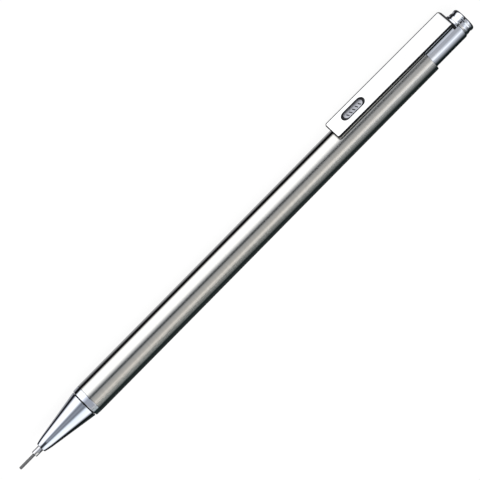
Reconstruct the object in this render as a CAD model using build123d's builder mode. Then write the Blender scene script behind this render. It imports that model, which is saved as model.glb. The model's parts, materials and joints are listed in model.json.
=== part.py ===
from build123d import *

import os
from math import asin, atan, atan2, cos, degrees, hypot, sin, sqrt

# A slim metal mechanical pencil for 0.5 mm leads, lying on a table on its barrel and its clip.
# Millimetres. The tip points to +X and the clip faces -Y. A station is a distance along the
# pencil's axis towards the push button, counted from a point 3.4 mm behind the lead's tip.

# ---- Driving dimensions -----------------------------------------------------------------------
BARREL_R = 3.05
BARREL_WALL = 0.30
BARREL_FRONT = 14.54
BARREL_REAR = 100.45

SNUG = 0.01  # radial gap of pieces that are pressed or glued together
RUN = 0.05  # radial gap of pieces that slide or turn in each other

# Leads
LEAD_R = 0.285
LEAD_TIP = 3.4  # how far the lead reaches ahead of station zero
LEAD_REAR = 45.0
LEAD_POINT = 0.06
SPARE_LENGTH = 60.0
SPARE_FRONT = 36.0
SPARE_TURNS = (-19.0, 19.0, 57.0)  # degrees round the axis from straight down

# Lead sleeve and its rubber
SLEEVE_FRONT = 0.20
SLEEVE_R = 0.61
SLEEVE_ROOT_R = 0.72  # inside the nose it widens to this, as a taper
SLEEVE_BORE_R = 0.31
SLEEVE_FLANGE_R = 0.95
SLEEVE_FLANGE_FRONT = 4.42
SLEEVE_FLANGE_REAR = 4.70
RETAINER_R = 0.97
RETAINER_BORE_R = 0.30
RETAINER_FRONT = 4.75
RETAINER_REAR = 6.50

# Nose cone
NOSE_FRONT = 1.90
NOSE_FRONT_R = 0.96
NOSE_KNEE = 3.60
NOSE_KNEE_R = 1.37
NOSE_BASE = 12.97
NOSE_BASE_R = 2.85
NOSE_REAR = 19.10
POCKET_R = 1.00  # holds the sleeve's flange and the rubber
POCKET_FRONT = 4.40
CHUCK_BORE_R = 1.25
CHUCK_BORE_FRONT = 6.60
GUIDE_BORE_FRONT = 9.30
THREAD_CREST_R = 2.30
THREAD_CORE_R = 2.14
THREAD_FRONT = 14.90
THREAD_PITCH = 0.50
THREAD_TURNS = 7
THREAD_ROOT_WIDTH = 0.34
THREAD_CREST_WIDTH = 0.08
THREAD_BITE = 0.05  # how far the ridge's foot reaches into the core

# Front ring: the polished band and the threaded insert behind it
BAND_FRONT = 13.17
INSERT_REAR = 22.0
INSERT_SHOULDER = 20.25

# Guide sleeve
GUIDE_R = 1.80
GUIDE_FRONT = 9.40
GUIDE_REAR = 27.0
GUIDE_FLANGE_FRONT = 19.20
GUIDE_FLANGE_REAR = 20.20
RING_SEAT = 12.50  # the shoulder that the chuck ring rests on
RING_SEAT_BORE_R = 1.00
SPRING_SEAT = 13.50
SPRING_BORE_R = 1.60

# Chuck and the ring that closes it
CHUCK_FRONT = 8.60
CHUCK_HEAD_R = 1.15
CHUCK_HEAD_REAR = 9.80
CHUCK_TAPER_R = 0.92
CHUCK_TAPER_REAR = 12.0
CHUCK_STEM_R = 0.85
CHUCK_REAR = 28.5
CHUCK_CHAMFER = 0.18
JAW_REAR = 13.0
JAW_BORE_R = 0.30
CHUCK_PASSAGE_R = 0.45
SLIT_WIDTH = 0.25
SLIT_REAR = 18.0
JAWS = 3
RING_FRONT = 9.95
RING_REAR = 12.45
RING_R = 1.56
RING_TAPER_GAP = 0.02

# Return spring
SPRING_WIRE_R = 0.15
SPRING_R = 1.35
SPRING_FRONT = 13.75
SPRING_REAR = 24.65
SPRING_PITCH = 1.09

# Connector and lead tube
CONNECTOR_FRONT = 24.90
CONNECTOR_R = 1.50
CONNECTOR_STEP = 28.50
CONNECTOR_REAR = 31.50
FUNNEL_FRONT = 30.40
FUNNEL_R = 0.95
TUBE_R = 1.55
TUBE_BORE_R = 1.20
TUBE_FRONT = 28.60
TUBE_REAR = 104.60

# Crown and its bush
CROWN_R = 2.54
CROWN_BORE_R = 2.34
CROWN_FRONT = 94.0
CROWN_STEP = 100.30
CROWN_MOUTH = 106.0  # from here the bore is opened out for the push button
CROWN_MOUTH_R = 2.42
CROWN_REAR = 108.20
CROWN_RIM_REACH = 0.30  # the rim's rounding is an ellipse this long and this deep
CROWN_RIM_DEPTH = 0.10
BUSH_FRONT = 94.20
BUSH_REAR = 100.0

# Eraser, its holder and the push button
HOLDER_PLUG_FRONT = 101.60
HOLDER_STEP = 104.65
HOLDER_REAR = 106.80
HOLDER_FLOOR = 105.0
ERASER_R = 1.33
ERASER_FRONT = 105.05
ERASER_REAR = 108.90
ERASER_ROUND = 0.25
BUTTON_R = 2.37
BUTTON_SKIRT_R = 2.22
BUTTON_FRONT = 103.40
BUTTON_FLANGE = 108.05
BUTTON_WAIST = 109.15  # the middle of a shallow hollow round the button
BUTTON_WAIST_REACH = 0.33
BUTTON_WAIST_DEPTH = 0.09
BUTTON_REAR = 110.25
BUTTON_INNER_REAR = 109.25
BUTTON_EDGE_ROUND = 0.48
BUTTON_DOME = 0.06

# Pocket clip
CLIP_FREE = 78.75
CLIP_REAR = 107.75
CLIP_WIDTH = 4.50
CLIP_T = 0.60
CLIP_FREE_H = 4.52  # height of the outer face over the axis, at the free end
CLIP_REAR_H = 4.20
CLIP_CORNER_R = 0.55
CLIP_BEND_R = 0.70
CLIP_SPLIT = 1.30  # from the rear face to where the arm starts to flex
CLIP_SPLIT_GAP = 0.04
TAB_ROOT_HALF = 1.67  # half the tab's width where it is brazed to the crown
BEAD_R = 0.70
EMBLEM_STATION = 84.30
EMBLEM_LENGTH = 5.50
EMBLEM_WIDTH = 2.10
EMBLEM_DEPTH = 0.05

# ---- Where the pencil lies --------------------------------------------------------------------
# It rolls until the clip's lower corner almost meets the table.
CORNER_REACH = hypot(CLIP_FREE_H, CLIP_WIDTH / 2)
CORNER_LIFT = 0.02
CLIP_ROLL = asin((BARREL_R - CORNER_LIFT) / CORNER_REACH) - atan2(CLIP_WIDTH / 2, CLIP_FREE_H)
CLIP_REACH_Y = CLIP_FREE_H * cos(CLIP_ROLL) + CLIP_WIDTH / 2 * sin(CLIP_ROLL)

FRONT_X = (BUTTON_REAR - LEAD_TIP) / 2
AXIS_Y = (CLIP_REACH_Y - BARREL_R) / 2

# BODY runs up the axis from station zero: local z is the station, local x the clip's side.
BODY = Plane(
    origin=(FRONT_X, AXIS_Y, BARREL_R),
    x_dir=(0, -cos(CLIP_ROLL), -sin(CLIP_ROLL)),
    z_dir=(-1, 0, 0),
)
# PROFILE holds the axis: local x is the radius, local y the station.
PROFILE = Plane(origin=BODY.origin, x_dir=BODY.x_dir, z_dir=-BODY.y_dir)
AXIS = Axis(BODY.origin, BODY.z_dir)

# CLIP_FACE lies on the clip's outer face: local x runs from the rear edge to the free end.
CLIP_TILT = atan((CLIP_FREE_H - CLIP_REAR_H) / (CLIP_REAR - CLIP_FREE))
CLIP_LENGTH = hypot(CLIP_REAR - CLIP_FREE, CLIP_FREE_H - CLIP_REAR_H)
CLIP_FACE = Plane(
    origin=BODY.from_local_coords((CLIP_REAR_H, 0, CLIP_REAR)),
    x_dir=BODY.x_dir * sin(CLIP_TILT) - BODY.z_dir * cos(CLIP_TILT),
    z_dir=BODY.x_dir * cos(CLIP_TILT) + BODY.z_dir * sin(CLIP_TILT),
)


def clip_height(station):
    """Height of the clip's outer face over the axis."""
    return CLIP_REAR_H + (CLIP_REAR - station) * (CLIP_FREE_H - CLIP_REAR_H) / (CLIP_REAR - CLIP_FREE)


def half_section(*corners):
    """The face with these (radius, station) corners, on the plane that holds the axis."""
    with BuildSketch(PROFILE) as section:
        with BuildLine():
            Polyline(*corners, close=True)
        make_face()
    return section.sketch


def ring(bore, outer, front, rear):
    """The half section of a plain ring."""
    return half_section((bore, front), (outer, front), (outer, rear), (bore, rear))


def save(piece, name):
    """Label a finished piece and write its STEP file."""
    piece.part.label = name
    export_step(piece.part, f"parts/{name}.step")


os.makedirs("parts", exist_ok=True)

# ---- Barrel -----------------------------------------------------------------------------------
with BuildPart() as barrel_tube:
    revolve(ring(BARREL_R - BARREL_WALL, BARREL_R, BARREL_FRONT, BARREL_REAR), axis=AXIS)
save(barrel_tube, "barrel_tube")

insert_r = BARREL_R - BARREL_WALL - SNUG
thread_bore_r = THREAD_CREST_R + RUN
with BuildPart() as front_ring:
    revolve(ring(thread_bore_r, BARREL_R, BAND_FRONT, BARREL_FRONT), axis=AXIS)
    revolve(ring(thread_bore_r, insert_r, BARREL_FRONT, INSERT_SHOULDER), axis=AXIS)
    revolve(ring(GUIDE_R + SNUG, insert_r, INSERT_SHOULDER, INSERT_REAR), axis=AXIS)
save(front_ring, "front_ring")

with BuildPart() as guide_sleeve:
    revolve(ring(RING_R + RUN, GUIDE_R, GUIDE_FRONT, RING_SEAT), axis=AXIS)
    revolve(ring(RING_SEAT_BORE_R, GUIDE_R, RING_SEAT, SPRING_SEAT), axis=AXIS)
    revolve(ring(SPRING_BORE_R, GUIDE_R, SPRING_SEAT, GUIDE_REAR), axis=AXIS)
    revolve(ring(GUIDE_R, THREAD_CREST_R, GUIDE_FLANGE_FRONT, GUIDE_FLANGE_REAR), axis=AXIS)
save(guide_sleeve, "guide_sleeve")

# ---- Nose, which unscrews from the front ring ---------------------------------------------------
nose_outline = (
    (SLEEVE_R + SNUG, NOSE_FRONT),
    (NOSE_FRONT_R, NOSE_FRONT),
    (NOSE_KNEE_R, NOSE_KNEE),
    (NOSE_BASE_R, NOSE_BASE),
    (THREAD_CREST_R, NOSE_BASE),
    (THREAD_CREST_R, THREAD_FRONT - THREAD_PITCH),
    (THREAD_CORE_R, THREAD_FRONT - THREAD_PITCH),
    (THREAD_CORE_R, NOSE_REAR),
    (GUIDE_R + RUN, NOSE_REAR),
    (GUIDE_R + RUN, GUIDE_BORE_FRONT),
    (CHUCK_BORE_R, GUIDE_BORE_FRONT),
    (CHUCK_BORE_R, CHUCK_BORE_FRONT),
    (POCKET_R, CHUCK_BORE_FRONT),
    (POCKET_R, POCKET_FRONT),
    (SLEEVE_ROOT_R + SNUG, POCKET_FRONT),
)
thread_path = Helix(
    pitch=THREAD_PITCH,
    height=THREAD_PITCH * THREAD_TURNS,
    radius=THREAD_CORE_R,
    center=BODY.from_local_coords((0, 0, THREAD_FRONT)),
    direction=BODY.z_dir,
)
thread_plane = Plane(
    origin=thread_path @ 0,
    x_dir=((thread_path @ 0) - BODY.from_local_coords((0, 0, THREAD_FRONT))).normalized(),
    z_dir=thread_path % 0,
)
with BuildPart() as nose_cone:
    revolve(half_section(*nose_outline), axis=AXIS)
    with BuildSketch(thread_plane):
        with BuildLine():
            Polyline(
                (-THREAD_BITE, -THREAD_ROOT_WIDTH / 2),
                (THREAD_CREST_R - THREAD_CORE_R, -THREAD_CREST_WIDTH / 2),
                (THREAD_CREST_R - THREAD_CORE_R, THREAD_CREST_WIDTH / 2),
                (-THREAD_BITE, THREAD_ROOT_WIDTH / 2),
                close=True,
            )
        make_face()
    sweep(path=thread_path, is_frenet=True)
save(nose_cone, "nose_cone")

sleeve_outline = (
    (SLEEVE_BORE_R, SLEEVE_FRONT),
    (SLEEVE_R, SLEEVE_FRONT),
    (SLEEVE_R, NOSE_FRONT),
    (SLEEVE_ROOT_R, SLEEVE_FLANGE_FRONT),
    (SLEEVE_FLANGE_R, SLEEVE_FLANGE_FRONT),
    (SLEEVE_FLANGE_R, SLEEVE_FLANGE_REAR),
    (SLEEVE_BORE_R, SLEEVE_FLANGE_REAR),
)
with BuildPart() as lead_sleeve:
    revolve(half_section(*sleeve_outline), axis=AXIS)
save(lead_sleeve, "lead_sleeve")

with BuildPart() as lead_retainer:
    revolve(ring(RETAINER_BORE_R, RETAINER_R, RETAINER_FRONT, RETAINER_REAR), axis=AXIS)
save(lead_retainer, "lead_retainer")

# ---- Chuck, which grips the lead ----------------------------------------------------------------
chuck_outline = (
    (JAW_BORE_R, CHUCK_FRONT),
    (CHUCK_HEAD_R - CHUCK_CHAMFER, CHUCK_FRONT),
    (CHUCK_HEAD_R, CHUCK_FRONT + CHUCK_CHAMFER),
    (CHUCK_HEAD_R, CHUCK_HEAD_REAR),
    (CHUCK_TAPER_R, CHUCK_TAPER_REAR),
    (CHUCK_STEM_R, CHUCK_TAPER_REAR),
    (CHUCK_STEM_R, CHUCK_REAR),
    (CHUCK_PASSAGE_R, CHUCK_REAR),
    (CHUCK_PASSAGE_R, JAW_REAR),
    (JAW_BORE_R, JAW_REAR),
)
with BuildPart() as chuck:
    revolve(half_section(*chuck_outline), axis=AXIS)
    with BuildSketch(BODY.offset(CHUCK_FRONT)):
        with PolarLocations(CHUCK_HEAD_R / 2, JAWS):
            Rectangle(CHUCK_HEAD_R + SLIT_WIDTH, SLIT_WIDTH)
    extrude(amount=SLIT_REAR - CHUCK_FRONT, mode=Mode.SUBTRACT)
save(chuck, "chuck")


def taper_r(station):
    """Radius of the chuck's taper, carried on past both its ends."""
    slope = (CHUCK_TAPER_R - CHUCK_HEAD_R) / (CHUCK_TAPER_REAR - CHUCK_HEAD_REAR)
    return CHUCK_HEAD_R + slope * (station - CHUCK_HEAD_REAR)


with BuildPart() as chuck_ring:
    revolve(
        half_section(
            (taper_r(RING_FRONT) + RING_TAPER_GAP, RING_FRONT),
            (RING_R, RING_FRONT),
            (RING_R, RING_REAR),
            (taper_r(RING_REAR) + RING_TAPER_GAP, RING_REAR),
        ),
        axis=AXIS,
    )
save(chuck_ring, "chuck_ring")

spring_path = Helix(
    pitch=SPRING_PITCH,
    height=SPRING_REAR - SPRING_FRONT,
    radius=SPRING_R,
    center=BODY.from_local_coords((0, 0, SPRING_FRONT)),
    direction=BODY.z_dir,
)
with BuildPart() as return_spring:
    with BuildSketch(Plane(origin=spring_path @ 0, z_dir=spring_path % 0)):
        Circle(SPRING_WIRE_R)
    sweep(path=spring_path, is_frenet=True)
save(return_spring, "return_spring")

# ---- Push rod: the connector and the lead tube move with the chuck --------------------------------
with BuildPart() as chuck_connector:
    revolve(ring(CHUCK_STEM_R + SNUG, CONNECTOR_R, CONNECTOR_FRONT, CONNECTOR_STEP), axis=AXIS)
    revolve(
        half_section(
            (CHUCK_PASSAGE_R, CONNECTOR_STEP),
            (TUBE_BORE_R - SNUG, CONNECTOR_STEP),
            (TUBE_BORE_R - SNUG, CONNECTOR_REAR),
            (FUNNEL_R, CONNECTOR_REAR),
            (CHUCK_PASSAGE_R, FUNNEL_FRONT),
        ),
        axis=AXIS,
    )
save(chuck_connector, "chuck_connector")

with BuildPart() as lead_tube:
    revolve(ring(TUBE_BORE_R, TUBE_R, TUBE_FRONT, TUBE_REAR), axis=AXIS)
save(lead_tube, "lead_tube")

# ---- Leads --------------------------------------------------------------------------------------
with BuildPart() as lead:
    with BuildSketch(BODY.offset(-LEAD_TIP)):
        Circle(LEAD_R)
    extrude(amount=LEAD_TIP + LEAD_REAR)
    chamfer(lead.edges().group_by(Axis.X)[-1], LEAD_POINT)
save(lead, "lead")

# The spare leads lie loose at the bottom of the lead tube.
spare_reach = TUBE_BORE_R - LEAD_R - SNUG
straight_down = degrees(CLIP_ROLL) - 90
with BuildPart() as spare_leads:
    with BuildSketch(BODY.offset(SPARE_FRONT)):
        for turn in SPARE_TURNS:
            with PolarLocations(spare_reach, 1, start_angle=straight_down + turn):
                Circle(LEAD_R)
    extrude(amount=SPARE_LENGTH)
save(spare_leads, "spare_leads")

# ---- Crown --------------------------------------------------------------------------------------
with BuildPart() as crown:
    revolve(ring(CROWN_BORE_R, insert_r, CROWN_FRONT, CROWN_STEP), axis=AXIS)
    with BuildSketch(PROFILE):
        with BuildLine():
            Polyline(
                (CROWN_R, CROWN_REAR - CROWN_RIM_REACH),
                (CROWN_R, CROWN_STEP),
                (CROWN_BORE_R, CROWN_STEP),
                (CROWN_BORE_R, CROWN_MOUTH),
                (CROWN_MOUTH_R, CROWN_MOUTH),
                (CROWN_MOUTH_R, CROWN_REAR),
                (CROWN_R - CROWN_RIM_DEPTH, CROWN_REAR),
            )
            EllipticalCenterArc(
                (CROWN_R - CROWN_RIM_DEPTH, CROWN_REAR - CROWN_RIM_REACH),
                CROWN_RIM_DEPTH,
                CROWN_RIM_REACH,
                arc_size=90,
            )
        make_face()
    revolve(axis=AXIS)
save(crown, "crown")

with BuildPart() as crown_bush:
    revolve(ring(TUBE_R + RUN, CROWN_BORE_R - SNUG, BUSH_FRONT, BUSH_REAR), axis=AXIS)
save(crown_bush, "crown_bush")

# ---- Eraser and push button -----------------------------------------------------------------------
with BuildPart() as eraser_holder:
    revolve(ring(0, TUBE_BORE_R - 3 * SNUG, HOLDER_PLUG_FRONT, HOLDER_STEP), axis=AXIS)
    revolve(ring(0, TUBE_R, HOLDER_STEP, HOLDER_FLOOR), axis=AXIS)
    revolve(ring(ERASER_R + SNUG, TUBE_R, HOLDER_FLOOR, HOLDER_REAR), axis=AXIS)
save(eraser_holder, "eraser_holder")

with BuildPart() as eraser:
    with BuildSketch(BODY.offset(ERASER_FRONT)):
        Circle(ERASER_R)
    extrude(amount=ERASER_REAR - ERASER_FRONT)
    fillet(eraser.edges().group_by(Axis.X)[0], ERASER_ROUND)
save(eraser, "eraser")

with BuildPart() as push_button:
    with BuildSketch(PROFILE):
        with BuildLine():
            inside = Polyline(
                (0, BUTTON_INNER_REAR),
                (TUBE_R + RUN, BUTTON_INNER_REAR),
                (TUBE_R + RUN, BUTTON_FRONT),
                (BUTTON_SKIRT_R, BUTTON_FRONT),
                (BUTTON_SKIRT_R, BUTTON_FLANGE),
                (BUTTON_R, BUTTON_FLANGE),
                (BUTTON_R, BUTTON_WAIST - BUTTON_WAIST_REACH),
            )
            waist = ThreePointArc(
                inside @ 1,
                (BUTTON_R - BUTTON_WAIST_DEPTH, BUTTON_WAIST),
                (BUTTON_R, BUTTON_WAIST + BUTTON_WAIST_REACH),
            )
            head = Line(waist @ 1, (BUTTON_R, BUTTON_REAR - BUTTON_DOME - BUTTON_EDGE_ROUND))
            edge_round = TangentArc(
                head @ 1,
                (BUTTON_R - BUTTON_EDGE_ROUND, BUTTON_REAR - BUTTON_DOME),
                tangent=head % 1,
            )
            top = Line(edge_round @ 1, (0, BUTTON_REAR))
            Line(top @ 1, inside @ 0)
        make_face()
    revolve(axis=AXIS)
save(push_button, "push_button")

# ---- Pocket clip ----------------------------------------------------------------------------------
arm_start = CLIP_SPLIT + CLIP_SPLIT_GAP
arm_length = CLIP_LENGTH - arm_start
emblem_x = (CLIP_REAR - EMBLEM_STATION) / cos(CLIP_TILT)
with BuildPart() as clip_arm:
    with BuildSketch(CLIP_FACE):
        with Locations((arm_start, 0)):
            Rectangle(arm_length, CLIP_WIDTH, align=(Align.MIN, Align.CENTER))
        fillet(vertices().group_by(Axis.X)[-1], CLIP_CORNER_R)
    extrude(amount=-CLIP_T)
    with BuildSketch(CLIP_FACE):
        with Locations((emblem_x, 0)):
            SlotOverall(EMBLEM_LENGTH, EMBLEM_WIDTH)
    extrude(amount=-EMBLEM_DEPTH, mode=Mode.SUBTRACT)
    with Locations(CLIP_FACE.offset(-CLIP_T) * Location((emblem_x, 0, 0))):
        Sphere(BEAD_R, arc_size1=-90, arc_size2=0)
save(clip_arm, "clip_arm")

with BuildPart() as clip_emblem:
    with BuildSketch(CLIP_FACE.offset(-EMBLEM_DEPTH)):
        with Locations((emblem_x, 0)):
            SlotOverall(EMBLEM_LENGTH - 2 * SNUG, EMBLEM_WIDTH - 2 * SNUG)
    extrude(amount=EMBLEM_DEPTH)
save(clip_emblem, "clip_emblem")

split_station = CLIP_REAR - CLIP_SPLIT
tab_root_x = sqrt(CROWN_R**2 - TAB_ROOT_HALF**2)
with BuildPart() as clip_foot:
    with BuildSketch(PROFILE) as foot_profile:
        with BuildLine():
            Polyline(
                (clip_height(split_station), split_station),
                (CLIP_REAR_H, CLIP_REAR),
                (tab_root_x, CLIP_REAR),
                (tab_root_x, CLIP_REAR - CLIP_T),
                (CLIP_REAR_H - CLIP_T, CLIP_REAR - CLIP_T),
                (clip_height(split_station) - CLIP_T, split_station),
                close=True,
            )
        make_face()
        corner = foot_profile.vertices().sort_by_distance((CLIP_REAR_H, CLIP_REAR))[0]
        fillet(corner, CLIP_BEND_R)
    extrude(amount=CLIP_WIDTH / 2, both=True)
    with BuildSketch(BODY.offset(CLIP_REAR)):
        with BuildLine():
            Polyline(
                (CLIP_FREE_H, -CLIP_WIDTH / 2),
                (CLIP_REAR_H - CLIP_T, -CLIP_WIDTH / 2),
                (tab_root_x, -TAB_ROOT_HALF),
                (tab_root_x, TAB_ROOT_HALF),
                (CLIP_REAR_H - CLIP_T, CLIP_WIDTH / 2),
                (CLIP_FREE_H, CLIP_WIDTH / 2),
                close=True,
            )
        make_face()
        Circle(CROWN_R, mode=Mode.SUBTRACT)
    extrude(amount=-CLIP_SPLIT, mode=Mode.INTERSECT)
save(clip_foot, "clip_foot")
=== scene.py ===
import json
import math

import bmesh
import bpy
from mathutils import Matrix, Vector


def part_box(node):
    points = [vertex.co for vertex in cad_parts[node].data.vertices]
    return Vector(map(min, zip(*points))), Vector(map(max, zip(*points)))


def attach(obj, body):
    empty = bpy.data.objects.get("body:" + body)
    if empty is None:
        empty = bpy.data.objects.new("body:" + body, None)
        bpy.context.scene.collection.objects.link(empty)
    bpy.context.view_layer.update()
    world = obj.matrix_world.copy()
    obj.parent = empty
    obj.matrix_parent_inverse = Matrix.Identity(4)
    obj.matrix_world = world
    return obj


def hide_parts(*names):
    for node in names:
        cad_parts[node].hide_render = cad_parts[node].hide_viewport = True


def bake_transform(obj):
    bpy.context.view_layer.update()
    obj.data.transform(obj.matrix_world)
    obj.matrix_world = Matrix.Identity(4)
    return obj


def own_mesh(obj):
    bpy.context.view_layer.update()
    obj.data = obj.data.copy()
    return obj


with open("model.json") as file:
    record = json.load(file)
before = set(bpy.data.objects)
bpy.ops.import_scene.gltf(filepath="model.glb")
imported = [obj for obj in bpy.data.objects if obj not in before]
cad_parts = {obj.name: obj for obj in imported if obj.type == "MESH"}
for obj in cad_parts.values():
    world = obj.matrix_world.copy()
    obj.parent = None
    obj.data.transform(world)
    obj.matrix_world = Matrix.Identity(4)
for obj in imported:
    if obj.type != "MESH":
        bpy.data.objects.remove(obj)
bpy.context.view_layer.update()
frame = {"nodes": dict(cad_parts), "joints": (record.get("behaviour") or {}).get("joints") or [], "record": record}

MM = 0.001

# ---- Places, read from the frame ----------------------------------------------------------------
# A station is a distance in millimetres along the pencil, counted from just behind the lead's point.
STATION_ZERO = 3.4
FRONT_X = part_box("lead")[1].x - STATION_ZERO * MM
BARREL_LOW, BARREL_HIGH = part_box("barrel_tube")
AXIS_Y = (BARREL_LOW.y + BARREL_HIGH.y) / 2
AXIS_Z = (BARREL_LOW.z + BARREL_HIGH.z) / 2
ALONG = Vector((1, 0, 0))


def station(x):
    return (FRONT_X - x) / MM


def span(node):
    """(front station, rear station) of a CAD node."""
    low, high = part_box(node)
    return station(high.x), station(low.x)


def radius(node):
    """Outer radius in millimetres of a round CAD node."""
    low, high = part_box(node)
    return (high.z - low.z) / 2 / MM


def joint(name):
    return next(j for j in frame["joints"] if j["name"] == name)


def mount(name):
    return next(m for m in frame["record"]["mounts"] if m["name"] == name)


# ---- Mesh helpers -------------------------------------------------------------------------------
SHARP_TURN = math.radians(12)
SOFT_STEPS = 4
SUPPORT = 1.5  # a rounding's support points lie this many cuts from the corner


def soften(outline, edge, closed):
    """Round the sharp corners of an outline, and put a support point on each side of them."""
    points = [Vector(p) for p in outline]
    result = []
    for i, corner in enumerate(points):
        if not closed and i in (0, len(points) - 1):
            result.append(corner)
            continue
        before, after = points[i - 1], points[(i + 1) % len(points)]
        back, ahead = before - corner, after - corner
        turn = math.pi - back.angle(ahead)
        if turn < SHARP_TURN:
            result.append(corner)
            continue
        cut = min(edge, 0.3 * back.length, 0.3 * ahead.length)
        start = corner + back.normalized() * cut
        end = corner + ahead.normalized() * cut
        result.append(corner + back.normalized() * cut * SUPPORT)
        for step in range(SOFT_STEPS + 1):
            t = step / SOFT_STEPS
            result.append(start * (1 - t) ** 2 + corner * 2 * t * (1 - t) + end * t**2)
        result.append(corner + ahead.normalized() * cut * SUPPORT)
    return result


def arc(place, reach, size, start, end, steps=6, length=None):
    """Outline points on an arc round (place, reach); 0 degrees is away from the axis, 90 to the rear.

    With a length along the pencil of its own, the arc is part of an ellipse.
    """
    angles = [math.radians(start + (end - start) * i / steps) for i in range(steps + 1)]
    return [(place + (length or size) * math.sin(a), reach + size * math.cos(a)) for a in angles]


def finish_mesh(name, build, material):
    """Turn a bmesh into a smooth object with that material."""
    bmesh.ops.remove_doubles(build, verts=build.verts, dist=1e-8)
    bmesh.ops.recalc_face_normals(build, faces=build.faces)
    mesh = bpy.data.meshes.new(name)
    build.to_mesh(mesh)
    build.free()
    mesh.shade_smooth()
    mesh.materials.append(material)
    piece = bpy.data.objects.new(name, mesh)
    bpy.context.scene.collection.objects.link(piece)
    return piece


def skin(build, rings, wrap):
    """Faces between rings of vertices, each a list; wrap joins the last ring to the first."""
    pairs = list(zip(rings, rings[1:])) + ([(rings[-1], rings[0])] if wrap else [])
    for ring, other in pairs:
        count = max(len(ring), len(other))
        for i in range(count):
            corners = [
                ring[i % len(ring)],
                ring[(i + 1) % len(ring)],
                other[(i + 1) % len(other)],
                other[i % len(other)],
            ]
            unique = list(dict.fromkeys(corners))
            if len(unique) > 2:
                build.faces.new(unique)


def lathe(name, outline, material, edge=0.06, closed=True, segments=144, shape=None):
    """A turned piece from its (station, radius) outline in millimetres.

    A closed outline is the section of a tube. An open one starts and ends on the axis.
    shape(station, radius, angle) may change the radius, as on a thread.
    """
    build = bmesh.new()
    rings = []
    for place, reach in soften(outline, edge, closed):
        x = FRONT_X - place * MM
        if reach < 1e-6:
            rings.append([build.verts.new((x, AXIS_Y, AXIS_Z))])
            continue
        ring = []
        for i in range(segments):
            angle = 2 * math.pi * i / segments
            r = (shape(place, reach, angle) if shape else reach) * MM
            ring.append(build.verts.new((x, AXIS_Y + r * math.cos(angle), AXIS_Z + r * math.sin(angle))))
        rings.append(ring)
    skin(build, rings, closed)
    return finish_mesh(name, build, material)


def second_finish(piece, material, belongs):
    """Give the faces that belongs(centre, normal) picks another material."""
    piece.data.materials.append(material)
    for face in piece.data.polygons:
        if belongs(face.center, face.normal):
            face.material_index = 1


# ---- Materials ----------------------------------------------------------------------------------
class Nodes:
    """A short way to write a material's node tree."""

    def __init__(self, name):
        self.material = bpy.data.materials.new(name)
        self.material.use_nodes = True
        self.tree = self.material.node_tree
        self.shader = self.tree.nodes["Principled BSDF"]
        self.place = self.tree.nodes.new("ShaderNodeTexCoord").outputs["Object"]

    def add(self, kind, **settings):
        node = self.tree.nodes.new(kind)
        for key, value in settings.items():
            setattr(node, key, value)
        return node

    def link(self, source, target):
        self.tree.links.new(source, target)

    def noise(self, scale, detail=3.0, rough=0.6):
        """Noise with its own scale along X, Y and Z, per metre."""
        mapping = self.add("ShaderNodeMapping")
        mapping.inputs["Scale"].default_value = scale
        self.link(self.place, mapping.inputs["Vector"])
        noise = self.add("ShaderNodeTexNoise")
        noise.inputs["Scale"].default_value = 1.0
        noise.inputs["Detail"].default_value = detail
        noise.inputs["Roughness"].default_value = rough
        self.link(mapping.outputs["Vector"], noise.inputs["Vector"])
        return noise.outputs["Fac"]

    def ramp(self, source, *stops):
        """Stops are (place, grey or colour)."""
        node = self.add("ShaderNodeValToRGB")
        ramp = node.color_ramp
        while len(ramp.elements) < len(stops):
            ramp.elements.new(0.5)
        for element, (place, value) in zip(ramp.elements, stops):
            element.position = place
            grey = isinstance(value, (int, float))
            element.color = (value, value, value, 1) if grey else (*value, 1)
        self.link(source, node.inputs["Fac"])
        return node.outputs["Color"]

    def spread(self, source, low, high):
        """A number between low and high that follows the middle of a noise."""
        node = self.add("ShaderNodeMapRange")
        for socket, value in (("From Min", 0.3), ("From Max", 0.7), ("To Min", low), ("To Max", high)):
            node.inputs[socket].default_value = value
        self.link(source, node.inputs["Value"])
        return node.outputs["Result"]

    def mix(self, factor, a, b, blend="MIX"):
        node = self.add("ShaderNodeMix", data_type="RGBA", blend_type=blend)
        for socket, value in ((0, factor), (6, a), (7, b)):
            if isinstance(value, bpy.types.NodeSocket):
                self.link(value, node.inputs[socket])
            else:
                node.inputs[socket].default_value = value if socket == 0 else (*value, 1)
        return node.outputs[2]

    def bump(self, height, distance, strength=1.0, under=None):
        node = self.add("ShaderNodeBump")
        node.inputs["Strength"].default_value = strength
        node.inputs["Distance"].default_value = distance
        self.link(height, node.inputs["Height"])
        if under is not None:
            self.link(under, node.inputs["Normal"])
        return node.outputs["Normal"]

    def use(self, **sockets):
        """Set or link the shader's inputs; underscores stand for spaces."""
        for key, value in sockets.items():
            socket = self.shader.inputs[key.replace("_", " ")]
            if isinstance(value, bpy.types.NodeSocket):
                self.link(value, socket)
            else:
                socket.default_value = value
        return self.material


def brushed_barrel():
    """Satin stainless steel, brushed round the barrel."""
    n = Nodes("barrel_steel")
    hairs = n.noise((9000, 260, 260), detail=4)
    fine = n.noise((30000, 900, 900), detail=2)
    clouds = n.noise((55, 160, 160), detail=2)
    tint = n.ramp(hairs, (0.3, (0.585, 0.58, 0.565)), (0.7, (0.665, 0.66, 0.64)))
    tint = n.mix(n.spread(clouds, 0.0, 0.35), tint, (0.66, 0.655, 0.64))
    tangent = n.add("ShaderNodeTangent", direction_type="RADIAL", axis="X")
    n.link(tangent.outputs["Tangent"], n.shader.inputs["Tangent"])
    normal = n.bump(hairs, 0.0000012, under=n.bump(fine, 0.0000006))
    return n.use(
        Base_Color=tint,
        Metallic=1.0,
        Roughness=n.spread(hairs, 0.12, 0.16),
        Anisotropic=0.8,
        Anisotropic_Rotation=0.25,
        Normal=normal,
    )


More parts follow.
